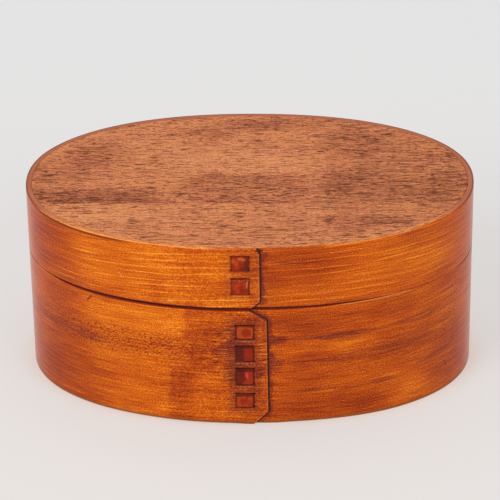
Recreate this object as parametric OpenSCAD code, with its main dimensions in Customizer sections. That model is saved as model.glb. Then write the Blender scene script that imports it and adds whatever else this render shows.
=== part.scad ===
// Oval bentwood box with a lift-off lid.
// Two thin strips of wood are bent into ovals, and each has its ends scarfed, lapped on the
// front and laced with a strip of cherry bark. Oval boards close the base and the lid, and a
// collar glued inside the body guides the lid. All sizes are in millimetres. The base stands
// on z = 0, the length runs along X, and the laced laps face -Y.

/* [Oval] */
// Length of the box over its walls
box_length = 180; // [140:1:240]
// Width of the box over its walls
box_width = 115; // [90:1:160]
// Fullness of the oval, where 2 is an ellipse and more is squarer
fullness = 2.18; // [2:0.02:2.6]
// Straight steps that make one turn of the oval
oval_steps = 144; // [96:12:180]

/* [Body] */
// Height of the body's wall
body_h = 53.3; // [46:0.1:90]
// Thickness of the base board
base_t = 4; // [3:0.1:7]

/* [Lid] */
// Height of the lid's wall
lid_h = 26.6; // [24:0.1:45]
// Thickness of the lid board
lid_board_t = 3; // [2:0.1:5]
// Open line between the closed lid and the body
lid_gap = 0.3; // [0.1:0.05:0.8]

/* [Walls] */
// Thickness of the bent walls
wall_t = 2.3; // [1.8:0.1:3.2]
// Radius of the eased outer edges of the walls
edge_r = 0.5; // [0.2:0.1:0.7]
// Film of glue between two glued faces
glue_t = 0.12; // [0.08:0.01:0.2]

/* [Laps] */
// Length of the overlap of a strip's two ends
lap_l = 46; // [34:1:60]
// Step where the outer end stands proud of the wall
lap_step = 0.6; // [0.4:0.1:1.5]
// Level stretch of that step, which carries the lacing
step_level = 15; // [13:1:20]
// Length of wall over which the step then fades out
step_fade = 44; // [30:1:60]
// Thickness left at a feathered end
feather_t = 0.3; // [0.25:0.05:0.5]
// Place of the body's outer end, right of the middle of the front
body_end_x = 7.8; // [2:0.1:20]
// Length and height of the corner cut off the body's outer end, at the top
body_top_cut = [7.3, 5.3]; // [0.5:0.1:9]
// Length and height of the corner cut off the body's outer end, at the bottom
body_low_cut = [5.9, 6]; // [0.5:0.1:9]
// Place of the lid's outer end, right of the middle of the front
lid_end_x = 5.1; // [2:0.1:20]
// Length and height of the corner cut off the lid's outer end, at the top
lid_top_cut = [1.2, 2.5]; // [0.5:0.1:9]
// Length and height of the corner cut off the lid's outer end, at the bottom
lid_low_cut = [3.4, 3.1]; // [0.5:0.1:9]

/* [Lacing] */
// Width of the bark strip
bark_w = 6.8; // [5:0.1:8]
// Thickness of the bark strip
bark_t = 0.5; // [0.3:0.05:0.7]
// Play of the strip in its slits and over the wood
bark_play = 0.12; // [0.1:0.01:0.2]
// Length of strip tucked back behind each end stitch
bark_tuck = 3; // [2:0.1:4]
// Distance from the body's outer end to the middle of its lacing
body_lace_in = 8.9; // [8:0.1:10]
// Distance from the lid's outer end to the middle of its lacing
lid_lace_in = 7.5; // [6:0.1:10]
// Wall between the base board and the lowest slit of the body
body_lace_low = 4.6; // [2:0.1:6]
// Wall above the highest slit of the body
body_lace_high = 7.6; // [7:0.1:10]
// Bare wood between two stitches of the body
body_lace_gap = 4.1; // [2:0.1:5]
// Wall below the lowest slit of the lid
lid_lace_low = 6.6; // [4:0.1:7]
// Wall between the highest slit of the lid and the lid board
lid_lace_high = 0.5; // [0.4:0.1:2]
// Bare wood between the stitches of the lid
lid_lace_gap = 4; // [2:0.1:5]

/* [Collar] */
// Thickness of the collar glued inside the body
collar_t = 1.8; // [1.6:0.1:3]
// Height of the collar
collar_h = 20; // [15:1:30]
// How far the collar stands above the body's wall
collar_rise = 9; // [5:0.5:12]
// Running clearance between the collar and the lid's wall
lid_play = 0.3; // [0.25:0.05:0.5]

/* [Hidden] */

half_l = box_length / 2;
half_w = box_width / 2;
// Outline points, in degrees and as the longest distance between two of them along the front
full_turn = 360;
quarter_turn = full_turn / 4;
turn_step = full_turn / oval_steps;
front_step = half_l * turn_step * PI / 180;
// Ten short steps shape the cut corners of an outer end
end_steps = 10;
end_stretch = 10;

lid_z = body_h + lid_gap;
box_h = lid_z + lid_h;
collar_z = body_h + collar_rise - collar_h;
collar_top = body_h + collar_rise;

body_lace_x = body_end_x - body_lace_in;
lid_lace_x = lid_end_x - lid_lace_in;
// Small steps by which the hand-cut slits miss an even spacing, from the bottom up, two to a stitch
body_slit_shift = [0, -0.4, 0.2, 0.9, 0.7, 0.9, 0.7, 0];
lid_slit_shift = [0, 0.4, 0.4, 0];
bend_r = bark_t;
bend_step = 22.5;
// How far the collar's groove is cut in, and how much wider than the lacings it is at each side
groove_depth = bark_t + 2 * bark_play + lid_play;
groove_side = 0.5;

wall_color = "#c9651c";
lid_wall_color = "#cf6f1d";
board_color = "#b8683f";
bark_color = "#8f2f22";
collar_color = "#c98343";

function clamp(u) = min(max(u, 0), 1);
// Rises smoothly from 0 to 1 as u does
function ease(u) = clamp(u) * clamp(u) * (3 - 2 * clamp(u));

// Point of the oval in the direction of an angle on its unit form
function oval_point(angle) =
    let (
        c = cos(angle),
        s = sin(angle),
        r = pow(pow(abs(c), fullness) + pow(abs(s), fullness), -1 / fullness)
    )
    [half_l * c * r, half_w * s * r];

// Outward direction of the oval at that point
function oval_normal(angle) =
    let (
        c = cos(angle),
        s = sin(angle),
        n = [sign(c) * pow(abs(c), fullness - 1) / half_l, sign(s) * pow(abs(s), fullness - 1) / half_w]
    )
    n / norm(n);

// Angle of the point that lies at x on the front
function front_angle(x) =
    let (u = abs(x) / half_l)
    -quarter_turn + sign(x) * atan(u / pow(1 - pow(u, fullness), 1 / fullness));

// A section drawn as [inset, height] pairs, stood across the oval at an angle
function ring(angle, section) =
    let (p = oval_point(angle), n = oval_normal(angle))
    [for (q = section) [p.x - q[0] * n.x, p.y - q[0] * n.y, q[1]]];

// Angles of a strip from its outer end, once round by the left and on under that end
function strip_angles(end_x) =
    let (
        first = front_angle(end_x - end_stretch),
        last = front_angle(end_x - lap_l) - full_turn,
        count = ceil((first - last) / turn_step)
    )
    concat(
        [for (i = [0 : end_steps - 1]) front_angle(end_x - end_stretch * i / end_steps)],
        [for (i = [0 : count]) first + (last - first) * i / count]
    );

// Depth of the glue line of a lap below its outer face, at a distance from the outer end
function glue_line(distance, thickness, root) =
    root + (thickness - root - feather_t) * clamp(distance / lap_l);

// Insets of the outer and the inner face of a lapped strip at an angle
function strip_faces(angle, end_x, thickness, step, root) =
    let (
        turned = front_angle(end_x) - angle,
        distance = max(end_x - oval_point(angle).x, 0),
        line = glue_line(distance, thickness, root),
        rise = step * (1 - ease((distance - step_level) / step_fade)),
        over = turned < quarter_turn,
        under = turned > full_turn - 1.01 * turn_step
    )
    [
        over ? -rise : under ? line + glue_t : 0,
        over && distance < lap_l + front_step ? line : thickness
    ];

// Height that a corner cut takes off at a distance from the outer end
function corner_cut(distance, cut) = cut[1] * (1 - clamp(distance / cut[0]));

// Section of a wall with its two outer edges eased
function wall_section(outer, inner, low, high) =
    let (r = min(edge_r, 0.4 * (inner - outer)), k = r * (1 - cos(45)))
    [
        [inner, low],
        [outer + r, low],
        [outer + k, low + k],
        [outer, low + r],
        [outer, high - r],
        [outer + k, high - k],
        [outer + r, high],
        [inner, high]
    ];

// Section of the collar, shaved back above the body's wall and eased at the top
function collar_section(outer, inner) =
    let (
        shaved = max(outer, wall_t + lid_play),
        r = min(edge_r, 0.4 * (inner - shaved))
    )
    [
        [inner, collar_z],
        [outer, collar_z],
        [outer, body_h],
        [shaved, lid_z],
        [shaved, collar_top - r],
        [shaved + r, collar_top],
        [inner - r, collar_top],
        [inner, collar_top - r]
    ];

// Heights of the slits from the bottom up, for a lacing from low to high
function slit_heights(low, high, gap, shift) =
    let (count = len(shift) / 2, stitch = (high - low - (count - 1) * gap) / count)
    [for (i = [0 : len(shift) - 1]) low + ceil(i / 2) * stitch + floor(i / 2) * gap + shift[i]];

body_slits = slit_heights(base_t + body_lace_low, body_h - body_lace_high, body_lace_gap, body_slit_shift);
lid_slits = slit_heights(lid_z + lid_lace_low, box_h - lid_board_t - lid_lace_high, lid_lace_gap, lid_slit_shift);

// Middle of the strip outside and inside the wall, measured along Y
bark_out = -(half_w + lap_step + bark_play + bark_t / 2);
bark_in = -(half_w - wall_t - bark_play - bark_t / 2);

// Corners of a running stitch through the slits, from the lower tucked end to the upper one
function lace_corners(slits) =
    let (last = len(slits) - 1)
    concat(
        [[bark_in, slits[0] + bark_tuck]],
        [for (i = [0 : last]) each i % 2 == 0
            ? [[bark_in, slits[i]], [bark_out, slits[i]]]
            : [[bark_out, slits[i]], [bark_in, slits[i]]]],
        [[bark_in, slits[last] - bark_tuck]]
    );

// Stations along a path with its corners bent round, each a point and its direction
function bent_path(corners) =
    let (last = len(corners) - 1)
    [
        [corners[0], (corners[1] - corners[0]) / norm(corners[1] - corners[0])],
        for (i = [1 : last - 1])
            let (
                into = (corners[i] - corners[i - 1]) / norm(corners[i] - corners[i - 1]),
                away = (corners[i + 1] - corners[i]) / norm(corners[i + 1] - corners[i]),
                centre = corners[i] + bend_r * (away - into)
            )
            for (t = [0 : bend_step : quarter_turn])
                [centre + bend_r * (into * sin(t) - away * cos(t)), into * cos(t) + away * sin(t)],
        [corners[last], (corners[last] - corners[last - 1]) / norm(corners[last] - corners[last - 1])]
    ];

// Outline of a ribbon of a thickness that follows those stations
function ribbon(stations, thickness) =
    concat(
        [for (s = stations) s[0] + thickness / 2 * [-s[1].y, s[1].x]],
        [for (i = [len(stations) - 1 : -1 : 0]) stations[i][0] - thickness / 2 * [-stations[i][1].y, stations[i][1].x]]
    );

// Solid that runs through a section at each angle, from one end to the other
module bent_strip(angles, sections) {
    size = len(sections[0]);
    last = len(angles) - 1;
    points = [for (i = [0 : last]) each ring(angles[i], sections[i])];
    sides = [
        for (i = [0 : last - 1], j = [0 : size - 1])
            let (p = i * size + j, q = i * size + (j + 1) % size)
            each [[q, p, q + size], [q + size, p, p + size]]
    ];
    start_cap = [for (j = [0 : size - 1]) j];
    end_cap = [for (j = [size - 1 : -1 : 0]) last * size + j];
    polyhedron(points, concat(sides, [start_cap, end_cap]));
}

// Oval board between two heights, inset from the oval and eased along its edges
module oval_board(inset, low, high, r) {
    levels = [[inset + r, low], [inset, low + r], [inset, high - r], [inset + r, high]];
    size = len(levels);
    points = [for (i = [0 : oval_steps - 1]) each ring(-turn_step * i, levels)];
    sides = [
        for (i = [0 : oval_steps - 1], j = [0 : size - 2])
            let (p = i * size + j, q = ((i + 1) % oval_steps) * size + j)
            each [[p + 1, p, q + 1], [q + 1, p, q]]
    ];
    low_cap = [for (i = [oval_steps - 1 : -1 : 0]) i * size];
    high_cap = [for (i = [0 : oval_steps - 1]) i * size + size - 1];
    polyhedron(points, concat(sides, [low_cap, high_cap]));
}

// Lapped wall from low to high, with its outer end at end_x and its slits cut
module lapped_wall(low, high, end_x, top_cut, low_cut, lace_x, slits) {
    angles = strip_angles(end_x);
    sections = [
        for (angle = angles)
            let (
                faces = strip_faces(angle, end_x, wall_t, lap_step, 0),
                distance = front_angle(end_x) - angle < quarter_turn ? max(end_x - oval_point(angle).x, 0) : lap_l
            )
            wall_section(faces[0], faces[1], low + corner_cut(distance, low_cut), high - corner_cut(distance, top_cut))
    ];
    slit = [bark_w + 2 * bark_play, wall_t + lap_step + 2, bark_t + 2 * bark_play];
    difference() {
        bent_strip(angles, sections);
        for (z = slits)
            translate([lace_x, -(half_w + lap_step + 1) + slit.y / 2, z])
                cube(slit, center = true);
    }
}

// Bark strip laced through the slits
module lacing(lace_x, slits) {
    translate([lace_x - bark_w / 2, 0, 0])
        rotate([90, 0, 90])
            linear_extrude(bark_w)
                polygon(ribbon(bent_path(lace_corners(slits)), bark_t));
}

module body_band() {
    color(wall_color)
        lapped_wall(0, body_h, body_end_x, body_top_cut, body_low_cut, body_lace_x, body_slits);
}

module body_lacing() {
    color(bark_color)
        lacing(body_lace_x, body_slits);
}

module base_board() {
    color(board_color)
        oval_board(wall_t + glue_t, 0, base_t, edge_r);
}

// Collar with its own lap at the back and a groove that clears both lacings
module inner_rim() {
    angles = strip_angles(0);
    face = wall_t + glue_t;
    sections = [
        for (angle = angles)
            let (faces = strip_faces(angle, 0, collar_t, 0, feather_t))
            collar_section(face + faces[0], face + faces[1])
    ];
    groove_from = min(body_lace_x, lid_lace_x) - bark_w / 2 - groove_side;
    groove_to = max(body_lace_x, lid_lace_x) + bark_w / 2 + groove_side;
    color(collar_color)
        difference() {
            rotate([0, 0, 180])
                bent_strip(angles, sections);
            translate([groove_from, -half_w, collar_z - 1])
                cube([groove_to - groove_from, wall_t + groove_depth, collar_h + 2]);
        }
}

module lid_band() {
    color(lid_wall_color)
        lapped_wall(lid_z, box_h, lid_end_x, lid_top_cut, lid_low_cut, lid_lace_x, lid_slits);
}

module lid_lacing() {
    color(bark_color)
        lacing(lid_lace_x, lid_slits);
}

module lid_board() {
    color(board_color)
        oval_board(wall_t + glue_t, box_h - lid_board_t, box_h, edge_r / 2);
}

body_band();
body_lacing();
base_board();
inner_rim();
lid_band();
lid_lacing();
lid_board();
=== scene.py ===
"""An oval bentwood box with bark-laced laps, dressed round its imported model. Shapes and finishes are worked
out in millimetres, and meshes are made in metres; the camera, the floor and the lights are in metres."""

import math
from functools import reduce

import bmesh
import bpy
import numpy as np
from mathutils import Matrix, Vector


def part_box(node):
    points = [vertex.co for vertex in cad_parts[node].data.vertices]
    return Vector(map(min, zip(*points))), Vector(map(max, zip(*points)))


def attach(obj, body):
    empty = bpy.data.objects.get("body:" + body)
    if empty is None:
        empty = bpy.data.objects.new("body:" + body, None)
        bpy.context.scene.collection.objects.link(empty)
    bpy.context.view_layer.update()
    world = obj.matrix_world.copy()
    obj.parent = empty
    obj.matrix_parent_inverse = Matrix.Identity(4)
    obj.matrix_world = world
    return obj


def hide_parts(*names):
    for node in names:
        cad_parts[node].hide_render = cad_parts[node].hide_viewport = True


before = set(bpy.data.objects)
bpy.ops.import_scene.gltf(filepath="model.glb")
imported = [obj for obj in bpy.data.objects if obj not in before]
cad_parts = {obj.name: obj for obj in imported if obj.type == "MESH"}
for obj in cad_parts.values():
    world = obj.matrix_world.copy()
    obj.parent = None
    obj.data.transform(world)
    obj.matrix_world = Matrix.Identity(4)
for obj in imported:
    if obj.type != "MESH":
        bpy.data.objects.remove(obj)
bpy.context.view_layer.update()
MM = 0.001

# ---------------- sizes, in millimetres
NODES = ("body_band", "lid_band", "lid_board", "base_board", "inner_rim", "body_lacing", "lid_lacing")
body_box, lid_box, board_box, base_box, collar_box, body_lace_box, lid_lace_box = [
    np.array(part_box(node)) / MM for node in NODES]
HALF_L_MM, HALF_W_MM, BODY_TOP_MM = map(float, body_box[1])
LID_LOW_MM, LID_TOP_MM = map(float, lid_box[:, 2])
COLLAR_LOW_MM, COLLAR_TOP_MM = map(float, collar_box[:, 2])
LID_BOARD_LOW_MM = float(board_box[0, 2])
BASE_TOP_MM = float(base_box[1, 2])
BARK_W_MM = float(body_lace_box[1, 0] - body_lace_box[0, 0])
BODY_LACE_X_MM = float(body_lace_box[:, 0].mean())
LID_LACE_X_MM = float(lid_lace_box[:, 0].mean())
FULLNESS = 2.18
WALL_T_MM = 2.3
EDGE_R_MM = 0.5
GLUE_MM = 0.12
LAP_L_MM = 46
LAP_STEP_MM = float(-body_box[0, 1]) - HALF_W_MM
STEP_LEVEL_MM = 15
STEP_FADE_MM = 44
FEATHER_MM = 0.3
COLLAR_T_MM = 1.8
LID_PLAY_MM = 0.3
BARK_T_MM = 0.5
BARK_PLAY_MM = 0.12
BARK_TUCK_MM = 3.0
BODY_END_MM = 7.8
LID_END_MM = 5.1
BODY_TOP_CUT_MM = (7.3, 5.3)
BODY_LOW_CUT_MM = (5.9, 6.0)
LID_TOP_CUT_MM = (1.2, 2.5)
LID_LOW_CUT_MM = (3.4, 3.1)
BODY_SLITS_MM = [8.6, 14.4, 19.1, 26.0, 29.9, 36.3, 40.2, 45.7]
LID_SLITS_MM = [60.2, 66.85, 70.85, 76.7]

# ---------------- how the strips are made
PATH_LEAD_MM = 3
PATH_POINTS = 24001
CLOSEST_MM = 0.04
UNDER_LEAD_MM = 3
FEATHER_ROOM_MM = 4
FINE_STEP_MM = 0.5
WALL_FINE_TO_MM = 16
WALL_STEP_MM = 1.1
WALL_END_MM = [0.08, 0.2, 0.35, 0.7]
FACE_STEP_MM = 1.6
END_R_MM = 0.3
SLIT_ROOM_MM = 0.03
SLIT_SIDE_MM = 0.28
SLIT_KEEP_MM = 0.15
UNEVEN_MM = 0.06
UNEVEN_REACH_MM = 22
CALM_TO_MM = 20
CALM_SHARE = 0.2
LEAN_FROM_MM = 25
LEAN_FADE_MM = 12
INNER_ARRIS_MM = 0.12
OUTER_ARRIS_ROWS = 4
INNER_ARRIS_ROWS = 2
ARRIS_SHARES = (0.4, 0.4, 0.3)
COLLAR_FINE_TO_MM = 3
COLLAR_STEP_MM = 1.2
COLLAR_ROWS = (6, 5)
COLLAR_ARRISES_MM = (0.3, 0.5, 0.45)
GROOVE_ROOM_MM = 0.5
GROOVE_SIDE_MM = 0.05
GROOVE_REACH_MM = 20
ABOVE_WALL_MM = 0.1
BOARD_POINTS = 360
BOARD_ARC_POINTS = 4
BOARD_RINGS = (0.06, 0.97)
BOARD_CROWN_MM = 0.05
LACE_BEND_POINTS = 7
LACE_STEP_MM = 0.5
LACE_ACROSS = [-1.0, -0.97, -0.9, *np.linspace(-0.75, 0.75, 9), 0.9, 0.97, 1.0]
LACE_FLAT = 0.9
LACE_EDGE = 0.02
LACE_WIDTH_WAVE = 0.012
LACE_LEAN_WAVE_MM = 0.05
LACE_PILLOW_MM = 0.05
LACE_OUTSIDE_MM = 0.02
SHARP = math.radians(35)
LACE_SHARP = math.radians(50)

# ---------------- camera, solved from the photograph
CAMERA_AT = (0.0330, -1.0354, 0.6347)
CAMERA_TURN = -0.0321
CAMERA_PITCH = math.radians(29.57)
CAMERA_ROLL = -0.0156
CAMERA_LENS = 210.2


def make_camera():
    right = Vector((math.cos(CAMERA_TURN), -math.sin(CAMERA_TURN), 0))
    ahead = Vector((-right.y, right.x, 0)) * math.cos(CAMERA_PITCH) - Vector((0, 0, math.sin(CAMERA_PITCH)))
    up = right.cross(ahead)
    across = right * math.cos(CAMERA_ROLL) + up * math.sin(CAMERA_ROLL)
    above = up * math.cos(CAMERA_ROLL) - right * math.sin(CAMERA_ROLL)
    data = bpy.data.cameras.new("camera")
    data.lens = CAMERA_LENS
    data.sensor_width = 36
    data.clip_start = 0.05
    data.clip_end = 20
    cam = bpy.data.objects.new("camera", data)
    bpy.context.collection.objects.link(cam)
    turn = Matrix((across, above, -ahead)).transposed().to_4x4()
    cam.matrix_world = Matrix.Translation(Vector(CAMERA_AT)) @ turn
    bpy.context.scene.camera = cam


make_camera()


# ---------------- node trees written as formulas
class Num:
    """A number or vector in a node tree, which can be added, multiplied and compared."""

    def __init__(self, tree, socket):
        self.tree = tree
        self.socket = socket

    def calc(self, operation, *others):
        node = self.tree.nodes.new("ShaderNodeMath")
        node.operation = operation
        self.tree.links.new(self.socket, node.inputs[0])
        for i, other in enumerate(others):
            put(self.tree, other, node.inputs[i + 1])
        return Num(self.tree, node.outputs[0])

    def __add__(self, other):
        return self.calc("ADD", other)

    def __sub__(self, other):
        return self.calc("SUBTRACT", other)

    def __mul__(self, other):
        return self.calc("MULTIPLY", other)

    def __truediv__(self, other):
        return self.calc("DIVIDE", other)

    def __pow__(self, other):
        return self.calc("POWER", other)

    __radd__ = __add__

    def above(self, other):
        return self.calc("MAXIMUM", other)

    def below(self, other):
        return self.calc("MINIMUM", other)

    def size(self):
        return self.calc("ABSOLUTE")

    def rise(self, low, high):
        """0 below low and 1 above high, smooth between them; low may be the higher value."""
        node = self.tree.nodes.new("ShaderNodeMapRange")
        node.interpolation_type = "SMOOTHSTEP"
        self.tree.links.new(self.socket, node.inputs["Value"])
        if low > high:
            low, high = high, low
            node.inputs["To Min"].default_value = 1
            node.inputs["To Max"].default_value = 0
        node.inputs["From Min"].default_value = low
        node.inputs["From Max"].default_value = high
        return Num(self.tree, node.outputs[0])


def put(tree, value, socket):
    if isinstance(value, Num):
        tree.links.new(value.socket, socket)
    else:
        socket.default_value = value


class Finish:
    """A material's node tree, with short calls for the nodes it uses."""

    def __init__(self, name):
        self.material = bpy.data.materials.new(name)
        self.material.use_nodes = True
        self.tree = self.material.node_tree
        self.shader = self.tree.nodes["Principled BSDF"]

    def parts(self, vector):
        made = self.tree.nodes.new("ShaderNodeSeparateXYZ")
        self.tree.links.new(vector.socket, made.inputs[0])
        return [Num(self.tree, out) for out in made.outputs]

    def vector(self, *values):
        made = self.tree.nodes.new("ShaderNodeCombineXYZ")
        for value, socket in zip(values, made.inputs):
            put(self.tree, value, socket)
        return Num(self.tree, made.outputs[0])

    def stored(self, name):
        made = self.tree.nodes.new("ShaderNodeAttribute")
        made.attribute_name = name
        return Num(self.tree, made.outputs["Vector"])

    def place(self):
        made = self.tree.nodes.new("ShaderNodeTexCoord")
        scaled = self.tree.nodes.new("ShaderNodeVectorMath")
        scaled.operation = "SCALE"
        self.tree.links.new(made.outputs["Object"], scaled.inputs[0])
        scaled.inputs["Scale"].default_value = 1 / MM
        return Num(self.tree, scaled.outputs[0])

    def noise(self, x, y, z, detail, rough):
        made = self.tree.nodes.new("ShaderNodeTexNoise")
        put(self.tree, self.vector(x, y, z), made.inputs["Vector"])
        made.inputs["Scale"].default_value = 1
        made.inputs["Detail"].default_value = detail
        made.inputs["Roughness"].default_value = rough
        return Num(self.tree, made.outputs["Fac"])

    def mix(self, share, first, second):
        """A colour between two. The node's colours are its inputs 6 and 7 and its output 2."""
        made = self.tree.nodes.new("ShaderNodeMix")
        made.data_type = "RGBA"
        put(self.tree, share, made.inputs[0])
        put(self.tree, first, made.inputs[6])
        put(self.tree, second, made.inputs[7])
        return Num(self.tree, made.outputs[2])

    def ramp(self, share, stops):
        made = self.tree.nodes.new("ShaderNodeValToRGB")
        self.tree.links.new(share.socket, made.inputs[0])
        points = made.color_ramp.elements
        while len(points) < len(stops):
            points.new(0.5)
        for point, (at, colour) in zip(points, stops):
            point.position = at
            point.color = colour
        return Num(self.tree, made.outputs[0])

    def bump(self, height, depth):
        """Height in the range 0 to 1 over depth in millimetres."""
        made = self.tree.nodes.new("ShaderNodeBump")
        put(self.tree, height, made.inputs["Height"])
        made.inputs["Distance"].default_value = depth * MM
        return Num(self.tree, made.outputs[0])

    def use(self, **sockets):
        for key, value in sockets.items():
            put(self.tree, value, self.shader.inputs[key.replace("_", " ")])


def swing(noise, amount):
    """A noise as a shift to both sides of 0, by up to half the amount."""
    return (noise - 0.5) * amount


def seen_ray(tree):
    """1 for a ray by which the camera sees, and 0 for a ray that only brings light."""
    rays = tree.nodes.new("ShaderNodeLightPath")
    kinds = [Num(tree, rays.outputs[f"Is {kind} Ray"]) for kind in ("Camera", "Glossy", "Transmission")]
    return (kinds[0] + kinds[1] + kinds[2]).below(1)


def rgb(red, green, blue):
    """A linear colour from the 0 to 255 values in which it is seen."""
    def linear(value):
        c = value / 255
        return c / 12.92 if c <= 0.04045 else ((c + 0.055) / 1.055) ** 2.4
    return (linear(red), linear(green), linear(blue), 1)


# ---------------- the oval and its strips
def oval(angle, inset):
    c, s = np.cos(angle), np.sin(angle)
    r = (np.abs(c) ** FULLNESS + np.abs(s) ** FULLNESS) ** (-1 / FULLNESS)
    nx = np.sign(c) * np.abs(c) ** (FULLNESS - 1) / HALF_L_MM
    ny = np.sign(s) * np.abs(s) ** (FULLNESS - 1) / HALF_W_MM
    length = np.hypot(nx, ny)
    return HALF_L_MM * c * r - inset * nx / length, HALF_W_MM * s * r - inset * ny / length


def front_angle(x):
    u = abs(x) / HALF_L_MM
    return -math.pi / 2 + math.copysign(math.atan(u / (1 - u ** FULLNESS) ** (1 / FULLNESS)), x)


def ease(u):
    u = np.clip(u, 0, 1)
    return u * u * (3 - 2 * u)


class Path:
    """A strip's way from its outer end, once round by the left and on under that end. It is measured
    along the oval from that end, and goes on a little way before it."""

    def __init__(self, end_x):
        start = front_angle(end_x + PATH_LEAD_MM)
        stop = front_angle(end_x - LAP_L_MM) - 2 * math.pi
        self.angles = np.linspace(start, stop, PATH_POINTS)
        x, y = oval(self.angles, 0)
        self.along = np.concatenate([[0], np.cumsum(np.hypot(np.diff(x), np.diff(y)))])
        self.along -= np.interp(-front_angle(end_x), -self.angles, self.along)
        self.turn = np.interp(2 * math.pi - front_angle(end_x), -self.angles, self.along)
        self.length = self.along[-1]

    def angle(self, along):
        return np.interp(along, self.along, self.angles)

    def near_start(self, along):
        """Whether a place is on the outer layer of the lap or soon after it."""
        return along < self.turn / 4

    def stations(self, fine_to, step, extra):
        """Places along the strip: close together up to fine_to, a step apart after it, and the extra ones."""
        fine = np.arange(0, fine_to, FINE_STEP_MM)
        rest = np.linspace(fine_to, self.length, int((self.length - fine_to) / step))
        found = np.unique(np.round(np.concatenate([fine, rest, extra]), 4))
        return found[np.concatenate([[True], np.diff(found) > CLOSEST_MM])]


def glue_line(behind, thickness, root):
    """The inset of the line between the lap's two layers: root at the outer end, and deeper behind it."""
    return root + (thickness - root - FEATHER_MM) * np.clip(behind / LAP_L_MM, 0, 1)


def lap_insets(path, along, thickness, step, root):
    """Insets of a strip's outer and inner face at each station. Its outer end stands proud by step."""
    over = path.near_start(along)
    under = along > path.turn - UNDER_LEAD_MM
    behind = np.where(over, along, np.maximum(along - path.turn, 0))
    line = glue_line(behind, thickness, root)
    lift = step * (1 - ease((behind - STEP_LEVEL_MM) / STEP_FADE_MM))
    outer = np.where(over, -lift, np.where(under, line + GLUE_MM, 0))
    inner = np.where(over & (behind < LAP_L_MM + FEATHER_ROOM_MM), line, thickness)
    return outer, inner


def mesh_object(name, points, faces, coords, body, replaced, sharp=SHARP):
    """An object from points in millimetres. coords are kept with the points for the finish."""
    mesh = bpy.data.meshes.new(name)
    mesh.from_pydata((np.reshape(points, (-1, 3)) * MM).tolist(), [], faces)
    stored = mesh.attributes.new("strip", "FLOAT_VECTOR", "POINT")
    stored.data.foreach_set("vector", np.asarray(coords, dtype=np.float32).ravel())
    work = bmesh.new()
    work.from_mesh(mesh)
    bmesh.ops.recalc_face_normals(work, faces=work.faces)
    work.to_mesh(mesh)
    work.free()
    mesh.shade_smooth()
    mesh.set_sharp_from_angle(angle=sharp)
    obj = bpy.data.objects.new(name, mesh)
    bpy.context.collection.objects.link(obj)
    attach(obj, body)
    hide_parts(*replaced)
    return obj


def wave(seed, *terms):
    """A smooth uneven value between about -1 and 1 that follows its coordinates: a sum of four sines, each
    finer and weaker than the one before."""
    rng = np.random.default_rng(seed)
    total = 0
    for i in range(4):
        phase = rng.uniform(0, 2 * math.pi)
        total = total + np.sin(sum(t * rng.uniform(0.6, 1.4) * (1 + 0.7 * i) for t in terms) + phase) / (1.5 + i)
    return total / 1.6


def edge_rows(face, radius, height, marked, rising, steps):
    """Rows round an arris, from the face on to the end surface: (inset, height, marked height)."""
    rows = []
    for a in np.radians(np.linspace(0, 90, steps + 1))[1:]:
        drop = rising * abs(radius) * (1 - np.sin(a))
        rows.append((face + radius * (1 - np.cos(a)), height - drop, marked - drop))
    return rows


def grid_faces(rows, count, cut=()):
    """Quads between neighbouring rows of count points each, where every row is closed. cut ones are left out."""
    faces = []
    for i in range(rows - 1):
        for j in range(count):
            if (i, j) not in cut:
                k = (j + 1) % count
                faces.append((i * count + j, i * count + k, (i + 1) * count + k, (i + 1) * count + j))
    return faces


def end_faces(rows, count):
    """One face on the first row of points and one on the last."""
    last = (rows - 1) * count
    return [tuple(range(count)), tuple(range(last + count - 1, last - 1, -1))]


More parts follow.
